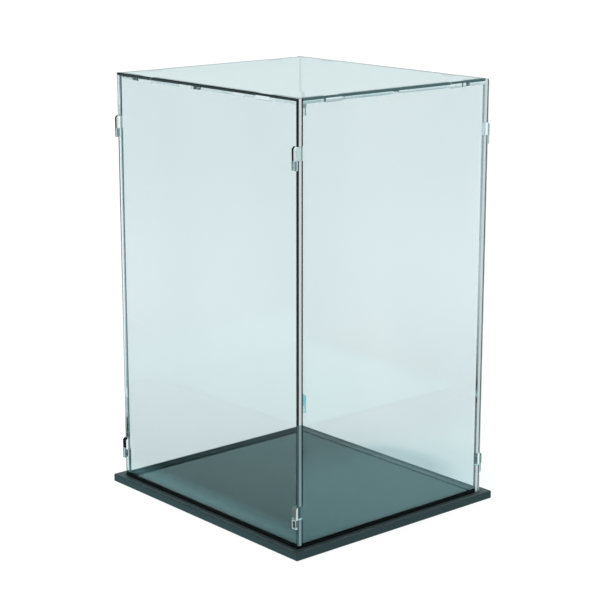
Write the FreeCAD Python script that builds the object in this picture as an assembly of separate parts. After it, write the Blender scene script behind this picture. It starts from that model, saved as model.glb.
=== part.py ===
import FreeCAD, Part
import os

# Display case of six flat sheets in millimetres, +Z up.
# The origin is the middle of the underside of the base plate.
# The front and back panels carry notches, the two side panels carry hooks that hang in them,
# the top panel drops between the walls, and the walls stand in a groove of the base plate.

# Driving sizes of the case
inner_width = 137.0
inner_depth = 120.0
wall_rise = 217.0
sheet = 3.0

# Base plate
base_thickness = 4.0
base_margin = 4.5
base_edge_break = 0.3
groove_depth = 1.5
groove_gap = 0.25

# Corner hooks and the notches that hold them
hook_reach = 1.2
hook_neck = 6.5
hook_finger = 4.5
hook_bevel = 1.0
upper_hook_drop = 22.0
lower_hook_rise = 21.0
joint_gap = 0.1

# Tabs of the top panel, with each tab's middle measured from the nearest inner corner
tab_length = 10.0
front_tab_inset = 22.0
side_tab_inset = 19.0

# How far a cutting block runs past the sheet that it cuts
cut_past = 1.0

# Planes that follow from the driving sizes
side_inner = inner_width / 2
side_outer = side_inner + sheet
front_inner = inner_depth / 2
front_outer = front_inner + sheet
hook_tip = front_outer + hook_reach
hook_root = front_inner - sheet
base_top = base_thickness
wall_foot = base_top - groove_depth
wall_top = base_top + wall_rise
top_underside = wall_top - sheet
hook_tops = (wall_top - upper_hook_drop, base_top + lower_hook_rise)
tab_centre_x = side_inner - front_tab_inset
tab_centre_y = front_inner - side_tab_inset


def block(x_range, y_range, z_range):
    """A box between two values on each axis."""
    corner = FreeCAD.Vector(x_range[0], y_range[0], z_range[0])
    return Part.makeBox(
        x_range[1] - x_range[0],
        y_range[1] - y_range[0],
        z_range[1] - z_range[0],
        corner,
    )


def mirrored(shape, normal):
    """The same shape on the other side of the middle plane."""
    return shape.mirror(FreeCAD.Vector(0, 0, 0), FreeCAD.Vector(*normal))


def both_sides(shape, normal):
    """A shape together with its mirror image."""
    return [shape, mirrored(shape, normal)]


def centred(middle, length):
    """The range of a given length around a middle value."""
    return (middle - length / 2, middle + length / 2)


# Base plate: one thick sheet with broken top edges and a groove for the feet of the walls.
base_half_x = side_outer + base_margin
base_half_y = front_outer + base_margin
base_plate = block((-base_half_x, base_half_x), (-base_half_y, base_half_y), (0, base_top))
top_edges = [edge for edge in base_plate.Edges if edge.BoundBox.ZMin > base_top / 2]
base_plate = base_plate.makeChamfer(base_edge_break, top_edges)

groove_height = (wall_foot, base_top + cut_past)
front_groove = block(
    (-side_outer - groove_gap, side_outer + groove_gap),
    (-front_outer - groove_gap, -front_inner + groove_gap),
    groove_height,
)
side_groove = block(
    (side_inner - groove_gap, side_outer + groove_gap),
    (-front_inner, front_inner),
    groove_height,
)
for groove in both_sides(front_groove, (0, 1, 0)) + both_sides(side_groove, (1, 0, 0)):
    base_plate = base_plate.cut(groove)

# Front and back panels: full-width sheets with an open notch for every hook at both ends
# and two open notches in the top edge for the tabs of the top panel.
front_panel = block((-side_outer, side_outer), (-front_outer, -front_inner), (wall_foot, wall_top))
for hook_top in hook_tops:
    hook_notch = block(
        (side_inner - joint_gap, side_outer + cut_past),
        (-front_outer - cut_past, -front_inner + cut_past),
        (hook_top - hook_neck - joint_gap, hook_top + joint_gap),
    )
    for notch in both_sides(hook_notch, (1, 0, 0)):
        front_panel = front_panel.cut(notch)
front_tab_notch = block(
    centred(tab_centre_x, tab_length + 2 * joint_gap),
    (-front_outer - cut_past, -front_inner + cut_past),
    (top_underside, wall_top + cut_past),
)
for notch in both_sides(front_tab_notch, (1, 0, 0)):
    front_panel = front_panel.cut(notch)
back_panel = mirrored(front_panel, (0, 1, 0))

# Side panels: sheets that fit between the front and back panels. Each hook is a neck that
# passes through a notch and a finger that hangs down outside it, with a bevelled top corner.
right_panel = block((side_inner, side_outer), (-front_inner, front_inner), (wall_foot, wall_top))
for hook_top in hook_tops:
    neck_bottom = hook_top - hook_neck
    finger_bottom = neck_bottom - hook_finger
    outline = [
        (hook_root, hook_top),
        (hook_tip - hook_bevel, hook_top),
        (hook_tip, hook_top - hook_bevel),
        (hook_tip, finger_bottom),
        (front_outer + joint_gap, finger_bottom),
        (front_outer + joint_gap, neck_bottom),
        (hook_root, neck_bottom),
    ]
    corners = [FreeCAD.Vector(side_inner, y, z) for y, z in outline]
    hook_face = Part.Face(Part.makePolygon(corners + corners[:1]))
    hook = hook_face.extrude(FreeCAD.Vector(sheet, 0, 0))
    for piece in both_sides(hook, (0, 1, 0)):
        right_panel = right_panel.fuse(piece)
right_panel = right_panel.removeSplitter()
side_tab_notch = block(
    (side_inner - cut_past, side_outer + cut_past),
    centred(tab_centre_y, tab_length + 2 * joint_gap),
    (top_underside, wall_top + cut_past),
)
for notch in both_sides(side_tab_notch, (0, 1, 0)):
    right_panel = right_panel.cut(notch)
left_panel = mirrored(right_panel, (1, 0, 0))

# Top panel: a sheet that drops between the walls, with two tabs on each edge.
# The tabs rest in the notches and end level with the outer faces of the walls.
top_height = (top_underside, wall_top)
top_panel = block(
    (-side_inner + joint_gap, side_inner - joint_gap),
    (-front_inner + joint_gap, front_inner - joint_gap),
    top_height,
)
front_tab = block(centred(tab_centre_x, tab_length), (-front_outer, 0), top_height)
side_tab = block((0, side_outer), centred(tab_centre_y, tab_length), top_height)
for tab, across in ((front_tab, (0, 1, 0)), (side_tab, (1, 0, 0))):
    along = (across[1], across[0], 0)
    for near in both_sides(tab, across):
        for piece in both_sides(near, along):
            top_panel = top_panel.fuse(piece)
top_panel = top_panel.removeSplitter()

# One file for each piece
pieces = {
    "base_plate": base_plate,
    "front_panel": front_panel,
    "back_panel": back_panel,
    "left_panel": left_panel,
    "right_panel": right_panel,
    "top_panel": top_panel,
}
os.makedirs("parts", exist_ok=True)
for node, shape in pieces.items():
    shape.exportStep("parts/" + node + ".step")
    size = shape.BoundBox
    print(node, shape.ShapeType, len(shape.Solids), shape.isValid(),
          round(size.XLength, 2), round(size.YLength, 2), round(size.ZLength, 2))
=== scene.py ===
import math

import bmesh
import bpy
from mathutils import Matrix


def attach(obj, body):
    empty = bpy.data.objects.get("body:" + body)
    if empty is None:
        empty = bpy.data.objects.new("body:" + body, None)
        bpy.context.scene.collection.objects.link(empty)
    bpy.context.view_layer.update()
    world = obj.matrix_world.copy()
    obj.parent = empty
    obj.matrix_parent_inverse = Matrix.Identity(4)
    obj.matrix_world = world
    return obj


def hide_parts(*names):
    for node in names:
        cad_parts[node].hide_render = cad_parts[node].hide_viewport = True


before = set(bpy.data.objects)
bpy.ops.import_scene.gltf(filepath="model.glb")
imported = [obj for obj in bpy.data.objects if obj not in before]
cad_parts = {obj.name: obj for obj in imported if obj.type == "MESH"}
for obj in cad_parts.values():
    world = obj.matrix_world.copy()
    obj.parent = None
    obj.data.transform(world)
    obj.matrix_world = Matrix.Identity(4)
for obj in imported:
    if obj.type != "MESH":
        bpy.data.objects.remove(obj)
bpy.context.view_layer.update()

# Base plate
# One 4 mm sheet of black acrylic, cut to size and polished on its faces. Its outer edges are broken
# by hand, and a milled groove in its top takes the feet of the four walls.
mm = 0.001
x_axis, y_axis, z_axis = 0, 1, 2
base_half_x = 76.0 * mm
base_half_y = 67.5 * mm
base_top = 4.0 * mm
groove_floor = 2.5 * mm
groove_inner_x = 68.25 * mm
groove_outer_x = 71.75 * mm
groove_inner_y = 59.75 * mm
groove_outer_y = 63.25 * mm
side_groove_end = 60.0 * mm
base_edge_break = 0.3 * mm
groove_edge_break = 0.12 * mm
smear_size = 25.0 * mm
polish_roughness = (0.03, 0.10)
dull_roughness = 0.25
acrylic_ior = 1.49

# Places closer than this are the same place, and faces that turn less than this lie in one plane.
near = 0.02 * mm
flat_angle = math.radians(1)
# How much of a face's normal lies along an axis: hardly any, along a slant, most of it, or nearly all.
edge_on, slanted, square_on, nearly_level = 0.1, 0.3, 0.9, 0.99


def begin(piece_name):
    """Give the new primitive its name and open it for editing."""
    piece = bpy.context.object
    piece.name = piece_name
    piece.data.name = piece_name
    bpy.ops.object.transform_apply(location=True, rotation=True, scale=True)
    bpy.ops.object.mode_set(mode="EDIT")
    return piece


def mesh_of(piece):
    """The mesh that is open for editing, with nothing selected."""
    bpy.ops.mesh.select_all(action="DESELECT")
    return bmesh.from_edit_mesh(piece.data)


def select_faces(piece, wanted):
    """Select the faces whose middle and normal pass a test."""
    bpy.ops.mesh.select_mode(type="FACE")
    shape = mesh_of(piece)
    for face in shape.faces:
        if wanted(face.calc_center_median(), face.normal):
            face.select_set(True)
    bmesh.update_edit_mesh(piece.data)


def select_edges(piece, wanted):
    """Select the edges whose two ends pass a test."""
    bpy.ops.mesh.select_mode(type="EDGE")
    shape = mesh_of(piece)
    for edge in shape.edges:
        if wanted(edge.verts[0].co, edge.verts[1].co):
            edge.select_set(True)
    bmesh.update_edit_mesh(piece.data)


def cut_across(axis, places):
    """Cut the whole open mesh by planes square to one axis."""
    normal = [0.0, 0.0, 0.0]
    normal[axis] = 1.0
    for place in places:
        point = [place * part for part in normal]
        bpy.ops.mesh.select_all(action="SELECT")
        bpy.ops.mesh.bisect(plane_co=point, plane_no=normal)


def mark_dull_faces(piece, wanted):
    """Note in a face attribute which faces are duller than the polished sheet."""
    chosen = [face.index for face in bmesh.from_edit_mesh(piece.data).faces if wanted(face)]
    bpy.ops.object.mode_set(mode="OBJECT")
    note = piece.data.attributes.new("dull_face", "FLOAT", "FACE")
    for index in chosen:
        note.data[index].value = 1.0


def finish_piece(piece, material, body, node):
    """Shade the piece, give it its material and tie it to the model."""
    bpy.ops.object.select_all(action="DESELECT")
    piece.select_set(True)
    bpy.context.view_layer.objects.active = piece
    bpy.ops.object.shade_flat()
    piece.data.materials.append(material)
    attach(piece, body)
    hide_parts(node)


def linear(code):
    """A colour written as an sRGB hex value, as the shader wants it."""
    channels = [int(code[place:place + 2], 16) / 255 for place in (1, 3, 5)]
    return [c / 12.92 if c <= 0.04045 else ((c + 0.055) / 1.055) ** 2.4 for c in channels] + [1.0]


def add_node(tree, kind, inputs=None, **settings):
    """Add a node with its settings. An input is joined to another node's output or given a value."""
    node = tree.nodes.new(kind)
    for name, value in settings.items():
        setattr(node, name, value)
    for name, value in (inputs or {}).items():
        if isinstance(value, bpy.types.NodeSocket):
            tree.links.new(value, node.inputs[name])
        else:
            node.inputs[name].default_value = value
    return node


def fill_ramp(node, stops):
    """Give a colour ramp its stops, each with its place on the ramp and its colour."""
    elements = node.color_ramp.elements
    elements.remove(elements[1])
    (first_place, first_colour), *others = stops
    elements[0].position = first_place
    elements[0].color = linear(first_colour)
    for place, colour in others:
        elements.new(place).color = linear(colour)


def new_material(name):
    """A material with an empty node tree."""
    material = bpy.data.materials.new(name)
    material.use_nodes = True
    material.node_tree.nodes.clear()
    return material, material.node_tree


# Cast black acrylic with polished faces and milled sides: a deep gloss with soft smears from handling,
# duller on the sides and on the margin.
black_acrylic, tree = new_material("black_cast_acrylic_polished")
place = add_node(tree, "ShaderNodeTexCoord").outputs["Object"]
smears = add_node(
    tree, "ShaderNodeTexNoise",
    {"Vector": place, "Scale": 1 / smear_size, "Detail": 3.0}).outputs["Fac"]
tones = add_node(tree, "ShaderNodeValToRGB", {"Fac": smears})
fill_ramp(tones, ((0.0, "#282F31"), (1.0, "#2B3436")))
gloss = add_node(
    tree, "ShaderNodeMapRange",
    {"Value": smears, "To Min": polish_roughness[0], "To Max": polish_roughness[1]})
dull_note = add_node(tree, "ShaderNodeAttribute", attribute_name="dull_face")
roughness = add_node(
    tree, "ShaderNodeMath",
    {0: dull_note.outputs["Fac"], 1: dull_roughness, 2: gloss.outputs["Result"]},
    operation="MULTIPLY_ADD")
surface = add_node(
    tree, "ShaderNodeBsdfPrincipled",
    {"Base Color": tones.outputs["Color"], "Roughness": roughness.outputs["Value"], "IOR": acrylic_ior})
add_node(tree, "ShaderNodeOutputMaterial", {"Surface": surface.outputs["BSDF"]})

bpy.ops.object.select_all(action="DESELECT")
bpy.ops.mesh.primitive_cube_add(size=1, location=(0, 0, base_top / 2))
bpy.context.object.scale = (2 * base_half_x, 2 * base_half_y, base_top)
base_plate = begin("black_base_plate")
cut_across(x_axis, [sign * line for line in (groove_inner_x, groove_outer_x) for sign in (-1, 1)])
cut_across(y_axis, [sign * line for line in (groove_inner_y, groove_outer_y) for sign in (-1, 1)])


def in_groove(point):
    """True over the ring that the feet of the walls stand in."""
    x, y = abs(point.x), abs(point.y)
    in_front = x < groove_outer_x and groove_inner_y < y < groove_outer_y
    in_side = groove_inner_x < x < groove_outer_x and y < side_groove_end
    return in_front or in_side


def on_rim(point):
    """True on the outer sides of the base plate."""
    return abs(point.x) > base_half_x - near or abs(point.y) > base_half_y - near


def on_groove_edge(start, end):
    """True along the upper edges of the groove."""
    return (not on_rim(start) and not on_rim(end)
            and min(start.z, end.z) > base_top - near
            and max(abs(start.x), abs(end.x)) < groove_outer_x + near
            and max(abs(start.y), abs(end.y)) < groove_outer_y + near)


def is_dull(face):
    """True on the milled sides and on the margin outside the walls, which is dulled by handling."""
    on_margin = face.normal.z > 0 and any(
        abs(corner.co.x) > groove_outer_x + mm or abs(corner.co.y) > groove_outer_y + mm
        for corner in face.verts)
    return abs(face.normal.z) < nearly_level or on_margin


select_faces(base_plate, lambda middle, normal: normal.z > square_on and in_groove(middle))
bpy.ops.mesh.extrude_region_move(TRANSFORM_OT_translate={"value": (0, 0, groove_floor - base_top)})
bpy.ops.mesh.select_all(action="SELECT")
bpy.ops.mesh.dissolve_limited(angle_limit=flat_angle)
select_edges(base_plate, lambda start, end: on_rim(start) and on_rim(end))
bpy.ops.mesh.bevel(offset=base_edge_break, segments=3, affect="EDGES")
select_edges(base_plate, on_groove_edge)
bpy.ops.mesh.bevel(offset=groove_edge_break, segments=2, affect="EDGES")
mark_dull_faces(base_plate, is_dull)
finish_piece(base_plate, black_acrylic, "base", "base_plate")

# Front and back panels
# Two 3 mm sheets of clear acrylic with a faint blue-green tint, laser cut. Open notches at both ends
# hang on the hooks of the side panels, and two notches in the top edge take the top panel's tabs.
sheet = 3.0 * mm
panel_half = 71.5 * mm
front_outer = 63.0 * mm
wall_foot = 2.55 * mm
wall_top = 221.0 * mm
notch_start = 68.4 * mm
hook_tops = (199.0 * mm, 25.0 * mm)
hook_neck = 6.5 * mm
joint_gap = 0.1 * mm
tab_length = 10.0 * mm
tab_middle_x = 46.5 * mm
top_underside = 218.0 * mm
end_arris = 0.62 * mm
top_arris = 1.2 * mm
# A line of painted shade runs up each panel's right end, in a band this far out from its inner face.
front_painted_end_band = (0.0, 0.8 * mm)
back_painted_end_band = (1.7 * mm, 2.5 * mm)
# Up to these heights the walls' feet are painted with a strip of shade.
front_painted_foot_line = 5.2 * mm
back_painted_foot_line = 4.9 * mm
# From this height up, each panel's right end is painted pale; the front panel's is greyer below it.
painted_pale_end_from = 66.0 * mm
haze_size = 70.0 * mm
haze_slant = (0.6, 0.6, 0.0)
haze_stretch = (1.0, 1.0, 0.4)
cut_roughness = (0.05, 0.3)
# The laser's ribs are drawn coarser than the real ones, which are about 0.1 mm apart, so that they show.
rib_spacing = 1.2 * mm

# How a face looks, from clear and polished, over cut, to painted pale light, painted grey shade and a
# painted dark line.
polished_tone = 0.0
cut_tone = 0.2
painted_pale_neck_tone = 0.26
painted_pale_tone = 0.4
painted_back_foot_tone = 0.5
painted_low_end_tone = 0.56
painted_grey_tone = 0.6
painted_slate_tone = 0.84
painted_dark_tone = 1.0

# The numbers of a colour mix's sockets, which share their names with other sockets.
mix_share, mix_first, mix_second, mix_result = 0, 6, 7, 2


def note_selected(tone):
    """Write the edge tone of the selected faces."""
    bpy.ops.mesh.attribute_set(value_float=tone)


def mark_faces(piece, tone, wanted):
    """Give the faces that pass a test their edge tone."""
    select_faces(piece, wanted)
    note_selected(tone)


def raise_sheet(piece, flat_axis, inner_face, outer_face, cut_and_painted_tone):
    """Raise the flat outline to a sheet of its thickness and note the tone of its cut faces."""
    bpy.ops.mesh.select_mode(type="FACE")
    bpy.ops.mesh.select_all(action="SELECT")
    move = [0.0, 0.0, 0.0]
    move[flat_axis] = outer_face - inner_face
    bpy.ops.mesh.extrude_region_move(TRANSFORM_OT_translate={"value": move})
    bpy.ops.mesh.select_all(action="SELECT")
    move[flat_axis] = inner_face
    bpy.ops.transform.translate(value=move)
    bpy.ops.mesh.normals_make_consistent(inside=False)
    bpy.ops.geometry.attribute_add(name="cut_and_painted_tone", domain="FACE", data_type="FLOAT")
    mark_faces(piece, cut_and_painted_tone, lambda middle, normal: abs(normal[flat_axis]) < edge_on)


def break_edges(piece, flat_axis, width, tone, wanted):
    """Break some edges of the sheet's faces, and note the tone of the new slanted faces."""
    select_edges(piece, lambda start, end: abs(start[flat_axis] - end[flat_axis]) < near
                 and wanted(start, end))
    bpy.ops.mesh.bevel(offset=width, segments=2, affect="EDGES")
    bpy.ops.mesh.select_mode(type="FACE")
    note_selected(tone)


def cut_sheet(name, flat_axis, half_width, waste, outer_face, painted_foot_line, painted_foot_tone,
              corners=(), corner_bevel=0.0):
    """Lay out a rectangle of upright sheet, cut away the waste and give it its thickness."""
    along = y_axis if flat_axis == x_axis else x_axis
    turn = (math.pi / 2, 0, math.pi / 2 if flat_axis == x_axis else 0)
    bpy.ops.object.select_all(action="DESELECT")
    bpy.ops.mesh.primitive_plane_add(
        size=1, location=(0, 0, (wall_foot + wall_top) / 2), rotation=turn)
    bpy.context.object.scale = (2 * half_width, wall_top - wall_foot, 1)
    piece = begin(name)
    cut_across(along, [line for across, _ in waste for line in across])
    cut_across(z_axis, [line for _, up in waste for line in up])

    def is_waste(middle, normal):
        """True inside any of the rectangles that are cut away."""
        return any(across[0] < middle[along] < across[1] and up[0] < middle.z < up[1]
                   for across, up in waste)

    select_faces(piece, is_waste)
    bpy.ops.mesh.delete(type="FACE")
    bpy.ops.mesh.select_all(action="SELECT")
    bpy.ops.mesh.dissolve_faces(use_verts=False)
    bpy.ops.mesh.dissolve_limited(angle_limit=flat_angle)
    if corners:
        bpy.ops.mesh.select_mode(type="VERT")
        shape = mesh_of(piece)
        for vertex in shape.verts:
            spot = (vertex.co[along], vertex.co.z)
            vertex.select_set(any(math.dist(spot, corner) < near for corner in corners))
        bmesh.update_edit_mesh(piece.data)
        bpy.ops.mesh.bevel(offset=corner_bevel, affect="VERTICES")
    inner_face = outer_face - math.copysign(sheet, outer_face)
    raise_sheet(piece, flat_axis, inner_face, outer_face, cut_tone)
    mark_faces(piece, polished_tone, lambda middle, normal: abs(normal[flat_axis]) < edge_on
               and top_underside - near < middle.z < wall_top - near
               and abs(middle[along]) < half_width - near)
    # The strip along the wall's foot is painted with shade, up to its foot line.
    cut_across(z_axis, [painted_foot_line])
    mark_faces(piece, painted_foot_tone, lambda middle, normal: middle.z < painted_foot_line)
    return piece


# Cast clear acrylic, laser cut: two mirror-smooth faces that take a little red out of the light, and cut
# edges that are faintly ribbed by the laser. Pale, grey and dark lines along the sheet are painted light
# and shade on chosen faces, in place of the light that the sheets bend and carry.
clear_acrylic, tree = new_material("clear_cast_acrylic_laser_cut_painted_lines")
place = add_node(tree, "ShaderNodeTexCoord").outputs["Object"]
tone = add_node(tree, "ShaderNodeAttribute", attribute_name="cut_and_painted_tone").outputs["Fac"]
slant = add_node(
    tree, "ShaderNodeMapping", {"Vector": place, "Rotation": haze_slant, "Scale": haze_stretch})
haze = add_node(
    tree, "ShaderNodeTexNoise",
    {"Vector": slant.outputs["Vector"], "Scale": 1 / haze_size, "Detail": 2.0})
tint = add_node(tree, "ShaderNodeValToRGB", {"Fac": haze.outputs["Fac"]})
fill_ramp(tint, ((0.3, "#EAF2F3"), (0.7, "#EEF5F6")))
cut_and_painted_edge_colour = add_node(tree, "ShaderNodeValToRGB", {"Fac": tone})
fill_ramp(cut_and_painted_edge_colour, (
    (cut_tone, "#B4C8CA"), (painted_pale_tone, "#EEF9FA"), (painted_grey_tone, "#6E979C"), (painted_dark_tone, "#020405")))
is_edge = add_node(tree, "ShaderNodeMath", {0: tone, 1: cut_tone / 2}, operation="GREATER_THAN")
colour = add_node(
    tree, "ShaderNodeMix",
    {mix_share: is_edge.outputs["Value"], mix_first: tint.outputs["Color"],
     mix_second: cut_and_painted_edge_colour.outputs["Color"]}, data_type="RGBA")
clearness = add_node(
    tree, "ShaderNodeMapRange",
    {"Value": tone, "From Min": cut_tone, "From Max": painted_pale_tone, "To Min": 1.0, "To Max": 0.0})
ribs = add_node(
    tree, "ShaderNodeTexNoise", {"Vector": place, "Scale": 1 / rib_spacing, "Detail": 1.0})
grain = add_node(
    tree, "ShaderNodeMapRange",
    {"Value": ribs.outputs["Fac"], "To Min": cut_roughness[0], "To Max": cut_roughness[1]})
roughness = add_node(
    tree, "ShaderNodeMath", {0: tone, 1: grain.outputs["Result"]}, operation="MULTIPLY")
surface = add_node(
    tree, "ShaderNodeBsdfPrincipled",
    {"Base Color": colour.outputs[mix_result], "Roughness": roughness.outputs["Value"],
     "Transmission Weight": clearness.outputs["Result"], "IOR": acrylic_ior})
add_node(tree, "ShaderNodeOutputMaterial", {"Surface": surface.outputs["BSDF"]})

# What the laser cuts away: a notch for each hook, and the tabs' notches. A cut runs 1 mm past the sheet.
cut_past = 1.0 * mm
front_waste = []
for sign in (-1, 1):
    ends = sorted((sign * notch_start, sign * (panel_half + cut_past)))
    for hook_top in hook_tops:
        front_waste.append((ends, (hook_top - hook_neck - joint_gap, hook_top + joint_gap)))
    tab_ends = [sign * tab_middle_x + side * (tab_length / 2 + joint_gap) for side in (-1, 1)]
    front_waste.append((tab_ends, (top_underside, wall_top + cut_past)))

for name, side, painted_foot_line, painted_foot_tone, painted_top_tone, painted_end_band, painted_low_tone, painted_line_tone in (
        ("front_panel", -1, front_painted_foot_line, painted_dark_tone,
         painted_dark_tone, front_painted_end_band, painted_low_end_tone, painted_dark_tone),
        ("back_panel", 1, back_painted_foot_line, painted_back_foot_tone,
         painted_grey_tone, back_painted_end_band, painted_pale_tone, painted_slate_tone)):
    panel = cut_sheet("clear_" + name, y_axis, panel_half, front_waste, side * front_outer,
                      painted_foot_line, painted_foot_tone)
    if name == "front_panel":
        # The right end's outer broken edge carries a painted dark line, the left end's a wide clear one.
        break_edges(panel, y_axis, end_arris, painted_line_tone,
                    lambda start, end: start.y < near - front_outer
                    and min(start.x, end.x) > panel_half - near)
        break_edges(panel, y_axis, top_arris, polished_tone,
                    lambda start, end: start.y < near - front_outer
                    and max(start.x, end.x) < near - panel_half)
    # The broken top edge carries a painted line of shade.
    break_edges(panel, y_axis, top_arris, painted_top_tone,
                lambda start, end: side * start.y > front_outer - near
                and min(start.z, end.z) > wall_top - near)
    painted_band = [front_outer - sheet + depth for depth in painted_end_band]
    cut_across(y_axis, [side * line for line in painted_band])
    cut_across(z_axis, [painted_pale_end_from])

    # The hooks' notches painted grey, the broken edge low down painted slate, the left end clear, and
    # the right end painted pale with a painted dark line
    mark_faces(panel, painted_grey_tone, lambda middle, normal: abs(normal.z) > square_on
               and abs(middle.x) > notch_start and painted_foot_line < middle.z < top_underside)
    mark_faces(panel, painted_slate_tone, lambda middle, normal: normal.x > slanted
               and normal.y < -slanted and painted_foot_line < middle.z < painted_pale_end_from)
    mark_faces(panel, polished_tone, lambda middle, normal: normal.x < -square_on
               and middle.x < near - panel_half and middle.z > painted_foot_line)
    for painted_end_tone, low, high in (
            (painted_low_tone, painted_foot_line, painted_pale_end_from), (painted_pale_tone, painted_pale_end_from, wall_top)):
        mark_faces(panel, painted_end_tone, lambda middle, normal: normal.x > square_on
                   and middle.x > panel_half - near and low < middle.z < high)
    mark_faces(panel, painted_line_tone, lambda middle, normal: normal.x > square_on
               and middle.x > panel_half - near and painted_band[0] < side * middle.y < painted_band[1])
    bpy.ops.object.mode_set(mode="OBJECT")
    finish_piece(panel, clear_acrylic, "walls", name)

# Side panels
# Two more sheets of the same clear acrylic that stand between the front and back panels. Each has
# two hooks at both upright edges: a neck through the notch and a finger that hangs down outside it.
side_outer = 71.5 * mm
side_half = 59.95 * mm
hook_tip = 64.2 * mm
finger_inner = 63.1 * mm
hook_finger = 4.5 * mm
hook_bevel = 1.0 * mm
# Painted light and shade: a dark band this wide on the upper hooks, a pale outline this wide round the
# lower right finger, and a stripe on the left panel's front end from this far in.
painted_hook_band = 1.4 * mm
painted_hook_outline = 0.45 * mm
painted_stripe_from = 1.85 * mm
left_arris = 1.6 * mm
# Up to this height the left panel's foot is painted with a strip of slate shade.
left_painted_foot_line = 5.4 * mm
tab_middle_y = 41.0 * mm

neck_bottoms = [hook_top - hook_neck for hook_top in hook_tops]
finger_bottoms = [neck_bottom - hook_finger for neck_bottom in neck_bottoms]
upper_hook, lower_hook = hook_tops
upper_neck, lower_neck = neck_bottoms
upper_finger, lower_finger = finger_bottoms
side_waste = []
hook_corners = []
for sign in (-1, 1):
    reach = sorted((sign * side_half, sign * (hook_tip + cut_past)))
    behind_finger = sorted((sign * side_half, sign * finger_inner))
    side_waste.append((reach, (upper_hook, wall_top + cut_past)))
    side_waste.append((reach, (lower_hook, upper_finger)))
    side_waste.append((reach, (wall_foot - cut_past, lower_finger)))
    for hook_top, neck_bottom, finger_bottom in zip(hook_tops, neck_bottoms, finger_bottoms):
        side_waste.append((behind_finger, (finger_bottom, neck_bottom)))
        hook_corners.append((sign * hook_tip, hook_top))
    tab_ends = [sign * tab_middle_y + side * (tab_length / 2 + joint_gap) for side in (-1, 1)]
    side_waste.append((tab_ends, (top_underside, wall_top + cut_past)))


def on_front_end(middle, normal):
    """True on the upright front end of a side panel, between its hooks."""
    return normal.y < -square_on and abs(middle.y + side_half) < near


def on_front_hook(middle, normal):
    """True on the front of a hook, outside the front panel."""
    return normal.y < -slanted and middle.y < -front_outer


for name, side, painted_foot_line, painted_foot_tone, painted_top_tone in (
        ("left_panel", -1, left_painted_foot_line, painted_slate_tone, painted_grey_tone),
        ("right_panel", 1, front_painted_foot_line, painted_dark_tone, painted_slate_tone)):
    panel = cut_sheet("clear_" + name, x_axis, hook_tip, side_waste, side * side_outer,
                      painted_foot_line, painted_foot_tone, hook_corners, hook_bevel)
    cut_across(z_axis, neck_bottoms)
    # The broken top edge carries a painted line of shade.
    break_edges(panel, x_axis, top_arris, painted_top_tone,
                lambda start, end: side * start.x > side_outer - near
                and min(start.z, end.z) > wall_top - near)
    if name == "left_panel":
        break_edges(panel, x_axis, left_arris, polished_tone,
                    lambda start, end: start.x < near - side_outer
                    and max(start.y, end.y) < near - side_half
                    and min(start.y, end.y) > -side_half - near)
    painted_band_end = min(side * side_outer, side * (side_outer - sheet)) + painted_hook_band
    cut_across(x_axis, [painted_band_end])

    # The upper hook: a front painted pale, with a painted dark band on its left
    mark_faces(panel, painted_pale_tone, lambda middle, normal: on_front_hook(middle, normal)
               and middle.z > upper_neck)
    mark_faces(panel, painted_dark_tone, lambda middle, normal: on_front_hook(middle, normal)
               and middle.z > upper_neck and middle.x < painted_band_end)
    if name == "left_panel":
        # The front end: an outer part painted pale, beside a painted stripe, grey below the upper hook
        # and dark above it
        painted_stripe_start = painted_stripe_from - side_outer
        cut_across(x_axis, [painted_stripe_start])
        mark_faces(panel, painted_pale_tone, lambda middle, normal: on_front_end(middle, normal)
                   and middle.x < painted_stripe_start and middle.z > painted_foot_line)
        for painted_stripe_tone, low, high in (
                (painted_grey_tone, painted_foot_line, upper_hook), (painted_dark_tone, upper_hook, wall_top)):
            mark_faces(panel, painted_stripe_tone, lambda middle, normal: on_front_end(middle, normal)
                       and middle.x > painted_stripe_start and low < middle.z < high)
        mark_faces(panel, polished_tone, lambda middle, normal: abs(normal.x) < edge_on
                   and middle.y > side_half + near)
    else:
        # The front end painted dark, and the lower hook with a painted pale outline round a clear finger
        mark_faces(panel, painted_dark_tone, lambda middle, normal: on_front_end(middle, normal)
                   and middle.z > painted_foot_line)
        cut_across(y_axis, [-front_outer])
        mark_faces(panel, painted_pale_tone, lambda middle, normal: normal.x > square_on
                   and middle.y < -front_outer and lower_neck < middle.z < lower_hook)
        mark_faces(panel, painted_pale_neck_tone, lambda middle, normal: on_front_hook(middle, normal)
                   and lower_neck < middle.z < lower_hook + near)
        mark_faces(panel, painted_pale_tone, lambda middle, normal: normal.y < -square_on
                   and middle.y < near - hook_tip and middle.z < lower_neck)
        bpy.ops.mesh.inset(thickness=painted_hook_outline)
        note_selected(polished_tone)
    bpy.ops.object.mode_set(mode="OBJECT")
    finish_piece(panel, clear_acrylic, "walls", name)

# Top panel
# The fifth sheet of clear acrylic, laser cut. It drops between the walls and lies level with their
# upper edges, and two tabs on each edge rest in the walls' notches.
top_half_x = 71.5 * mm
top_half_y = 63.0 * mm
top_inner_x = 68.4 * mm
top_inner_y = 59.85 * mm
top_foot = 218.05 * mm
tab_arris = 1.0 * mm

bpy.ops.object.select_all(action="DESELECT")
bpy.ops.mesh.primitive_plane_add(size=1, location=(0, 0, 0))
bpy.context.object.scale = (2 * top_half_x, 2 * top_half_y, 1)
top_panel = begin("clear_top_panel")
tab_x = [sign * tab_middle_x + side * tab_length / 2 for sign in (-1, 1) for side in (-1, 1)]
tab_y = [sign * tab_middle_y + side * tab_length / 2 for sign in (-1, 1) for side in (-1, 1)]
cut_across(x_axis, tab_x + [-top_inner_x, top_inner_x])
cut_across(y_axis, tab_y + [-top_inner_y, top_inner_y])


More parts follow.
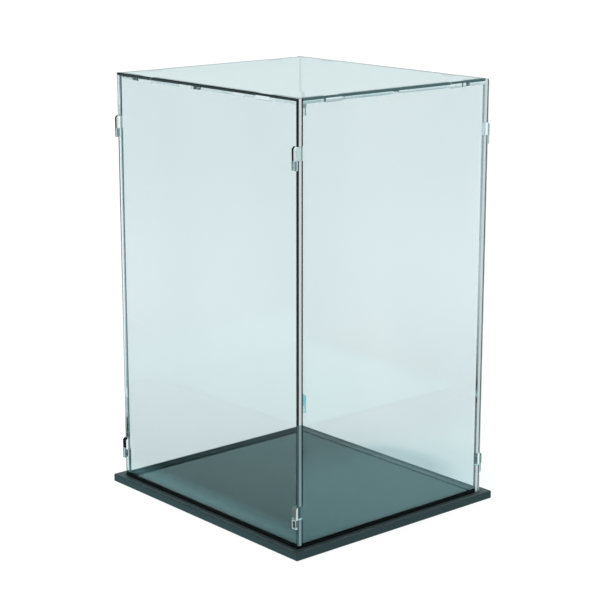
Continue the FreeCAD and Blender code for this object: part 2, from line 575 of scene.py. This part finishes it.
def off_the_top(middle, normal):
    """True outside the sheet's middle and its eight tabs."""
    past_x = abs(middle.x) > top_inner_x
    past_y = abs(middle.y) > top_inner_y
    on_x_tab = abs(abs(middle.y) - tab_middle_y) < tab_length / 2
    on_y_tab = abs(abs(middle.x) - tab_middle_x) < tab_length / 2
    return (past_x and past_y) or (past_x and not on_x_tab) or (past_y and not on_y_tab)


select_faces(top_panel, off_the_top)
bpy.ops.mesh.delete(type="FACE")
bpy.ops.mesh.select_all(action="SELECT")
bpy.ops.mesh.dissolve_faces(use_verts=False)
bpy.ops.mesh.dissolve_limited(angle_limit=flat_angle)
raise_sheet(top_panel, z_axis, top_foot, wall_top, polished_tone)
# The broken top edges carry painted lines of shade, slate at the sides and dark at the front and back.
for axis, half, painted_tab_tone in ((x_axis, top_half_x, painted_slate_tone), (y_axis, top_half_y, painted_dark_tone)):
    break_edges(top_panel, z_axis, tab_arris, painted_tab_tone,
                lambda start, end: min(start.z, end.z) > wall_top - near
                and min(abs(start[axis]), abs(end[axis])) > half - near)
bpy.ops.object.mode_set(mode="OBJECT")
finish_piece(top_panel, clear_acrylic, "top", "top_panel")

# Floor
# A plain floor of white studio paper that runs out of the picture on all sides. Seen straight it is
# white with a soft shade behind the case, and the polished sheets mirror a pool of light before it.
floor_half = 3.0
floor_drop = 0.05 * mm
floor_squares = 8
camera_azimuth = math.radians(49.2)
pool_blend = 0.02
shade_reach_x = 0.35
shade_reach_y = 0.25
shade_middle_y = 0.0665
# The pool's colours before the front panel and before the right panel, by metres from the middle.
front_pool = (
    (0.074, "#A6E7EE"), (0.09, "#283435"), (0.187, "#8A9A9C"), (0.33, "#C0CCCD"), (0.73, "#94A4A6"))
right_pool = (
    (0.08, "#9AD6DE"), (0.147, "#9AD6DE"), (0.19, "#7A8A8C"), (0.38, "#B6C2C3"), (0.85, "#8C9C9E"))
# The shade's colours, from its middle to where it has faded into the white.
shade_colours = ((0.08, "#B6C4C7"), (0.13, "#DCE1E1"), (0.24, "#E6E7E7"), (1.0, "#E9E9E9"))


def seen_by_the_eye(tree, rays):
    """1 for light that makes a picture: seen straight, in a mirror or through a sheet."""
    straight_or_mirrored = add_node(
        tree, "ShaderNodeMath", {0: rays["Is Camera Ray"], 1: rays["Is Glossy Ray"]},
        operation="MAXIMUM")
    any_of_them = add_node(
        tree, "ShaderNodeMath",
        {0: straight_or_mirrored.outputs["Value"], 1: rays["Is Transmission Ray"]},
        operation="MAXIMUM")
    return any_of_them.outputs["Value"]


def only_mirrored(tree, rays, mirrors):
    """1 for light that came by a mirror and met no dull face."""
    clean = add_node(
        tree, "ShaderNodeMath", {0: mirrors, 1: rays["Diffuse Depth"]},
        operation="SUBTRACT", use_clamp=True)
    return clean.outputs["Value"]


bpy.ops.object.select_all(action="DESELECT")
bpy.ops.mesh.primitive_grid_add(
    x_subdivisions=floor_squares, y_subdivisions=floor_squares, size=2 * floor_half,
    location=(0, 0, -floor_drop))
floor = begin("studio_floor")
bpy.ops.object.mode_set(mode="OBJECT")

# Matt white paper: an even white that takes soft shades.
studio_white, tree = new_material("white_studio_paper")
rays = add_node(tree, "ShaderNodeLightPath").outputs
# The pool shows only in light that met exactly one mirror.
one_mirror = add_node(
    tree, "ShaderNodeMath", {0: rays["Glossy Depth"], 1: 1.0, 2: 0.5}, operation="COMPARE")
mirrored = only_mirrored(tree, rays, one_mirror.outputs["Value"])
paper_colour = add_node(
    tree, "ShaderNodeMix",
    {mix_share: mirrored, mix_first: linear("#8A8A8A"), mix_second: linear("#000000")},
    data_type="RGBA")
paper = add_node(tree, "ShaderNodeBsdfDiffuse", {"Color": paper_colour.outputs[mix_result]})
place = add_node(tree, "ShaderNodeTexCoord").outputs["Object"]
spread = add_node(tree, "ShaderNodeSeparateXYZ", {"Vector": place}).outputs
forward = add_node(tree, "ShaderNodeMath", {0: spread["Y"], 1: -1.0}, operation="MULTIPLY")
before_front = add_node(tree, "ShaderNodeValToRGB", {"Fac": forward.outputs["Value"]})
fill_ramp(before_front, front_pool)
before_right = add_node(tree, "ShaderNodeValToRGB", {"Fac": spread["X"]})
fill_ramp(before_right, right_pool)
across = add_node(
    tree, "ShaderNodeVectorMath",
    {0: place, 1: (math.cos(camera_azimuth), math.sin(camera_azimuth), 0)}, operation="DOT_PRODUCT")
on_right = add_node(
    tree, "ShaderNodeMapRange",
    {"Value": across.outputs["Value"], "From Min": -pool_blend, "From Max": pool_blend})
pool = add_node(
    tree, "ShaderNodeMix",
    {mix_share: on_right.outputs["Result"], mix_first: before_front.outputs["Color"],
     mix_second: before_right.outputs["Color"]}, data_type="RGBA")
shade_place = add_node(
    tree, "ShaderNodeVectorMath",
    {0: place, 1: (1 / shade_reach_x, 1 / shade_reach_y, 0), 2: (0, -shade_middle_y / shade_reach_y, 0)},
    operation="MULTIPLY_ADD")
shade_distance = add_node(
    tree, "ShaderNodeVectorMath", {0: shade_place.outputs["Vector"]}, operation="LENGTH")
shade = add_node(tree, "ShaderNodeValToRGB", {"Fac": shade_distance.outputs["Value"]})
fill_ramp(shade, shade_colours)
floor_glow = add_node(
    tree, "ShaderNodeMix",
    {mix_share: mirrored, mix_first: shade.outputs["Color"], mix_second: pool.outputs[mix_result]},
    data_type="RGBA")
glow = add_node(
    tree, "ShaderNodeEmission",
    {"Strength": seen_by_the_eye(tree, rays), "Color": floor_glow.outputs[mix_result]})
lit_paper = add_node(
    tree, "ShaderNodeAddShader", {0: paper.outputs["BSDF"], 1: glow.outputs["Emission"]})
add_node(tree, "ShaderNodeOutputMaterial", {"Surface": lit_paper.outputs["Shader"]})
floor.data.materials.append(studio_white)

# Studio light
# A white room with two large soft lamps, one overhead before the case and one high up behind it. The
# polished sheets mirror the room's walls, which are pale low down and darker above.
lamp_size = 1.0
lamp_power = 2.5
# The walls' colours in a mirror, by the rise of the line of sight.
wall_colours = (
    (0.17, "#DAE8E9"), (0.30, "#C4ECF0"), (0.33, "#DAFFFF"), (0.355, "#DAFFFF"), (0.372, "#A1CFD0"),
    (0.5, "#3A4A4C"))

world = bpy.data.worlds.new("white_studio")
bpy.context.scene.world = world
world.use_nodes = True
tree = world.node_tree
tree.nodes.clear()
rays = add_node(tree, "ShaderNodeLightPath").outputs
any_mirror = add_node(tree, "ShaderNodeMath", {0: rays["Glossy Depth"], 1: 1.0}, operation="MINIMUM")
heading = add_node(tree, "ShaderNodeTexCoord").outputs["Generated"]
rise = add_node(tree, "ShaderNodeSeparateXYZ", {"Vector": heading}).outputs["Z"]
walls = add_node(tree, "ShaderNodeValToRGB", {"Fac": rise})
fill_ramp(walls, wall_colours)
room_glow = add_node(
    tree, "ShaderNodeMix",
    {mix_share: only_mirrored(tree, rays, any_mirror.outputs["Value"]),
     mix_first: linear("#FFFFFF"), mix_second: walls.outputs["Color"]}, data_type="RGBA")
room = add_node(tree, "ShaderNodeBackground", {"Color": linear("#FFFFFF"), "Strength": 1.0})
backdrop = add_node(
    tree, "ShaderNodeBackground", {"Color": room_glow.outputs[mix_result], "Strength": 1.0})
sky = add_node(
    tree, "ShaderNodeMixShader",
    {"Fac": seen_by_the_eye(tree, rays), 1: room.outputs["Background"],
     2: backdrop.outputs["Background"]})
add_node(tree, "ShaderNodeOutputWorld", {"Surface": sky.outputs["Shader"]})

for name, lamp_place, lamp_tilt in (
        ("soft_overhead_lamp", (0.3, -0.5, 1.2), (22, 14, 0)),
        ("soft_back_lamp", (0.18, 0.98, 1.3), (-40, 6, 0))):
    bpy.ops.object.light_add(
        type="AREA", location=lamp_place, rotation=[math.radians(turn) for turn in lamp_tilt])
    lamp = bpy.context.object
    lamp.name = name
    lamp.data.size = lamp_size
    lamp.data.energy = lamp_power

# Camera
# At the photograph's viewing angle, a little above the top of the case and looking down at it. Light
# crosses many clear faces on its way, so it is followed for many bounces.
camera_distance = 0.8875
camera_height = 0.3208
camera_pitch = math.radians(13.72)
image_width = 600
focal_length_px = 1754.0
sensor_width = 36.0
nearest_seen = 0.01
most_bounces = 64
sheet_bounces = 40
bpy.ops.object.camera_add(
    location=(camera_distance * math.sin(camera_azimuth), -camera_distance * math.cos(camera_azimuth),
              camera_height),
    rotation=(math.pi / 2 - camera_pitch, 0, camera_azimuth))
camera = bpy.context.object
camera.name = "product_camera"
camera.data.sensor_width = sensor_width
camera.data.lens = focal_length_px / image_width * sensor_width
camera.data.clip_start = nearest_seen
bpy.context.scene.camera = camera
bpy.context.scene.view_settings.view_transform = "Standard"
bpy.context.scene.cycles.max_bounces = most_bounces
bpy.context.scene.cycles.glossy_bounces = sheet_bounces
bpy.context.scene.cycles.transmission_bounces = sheet_bounces
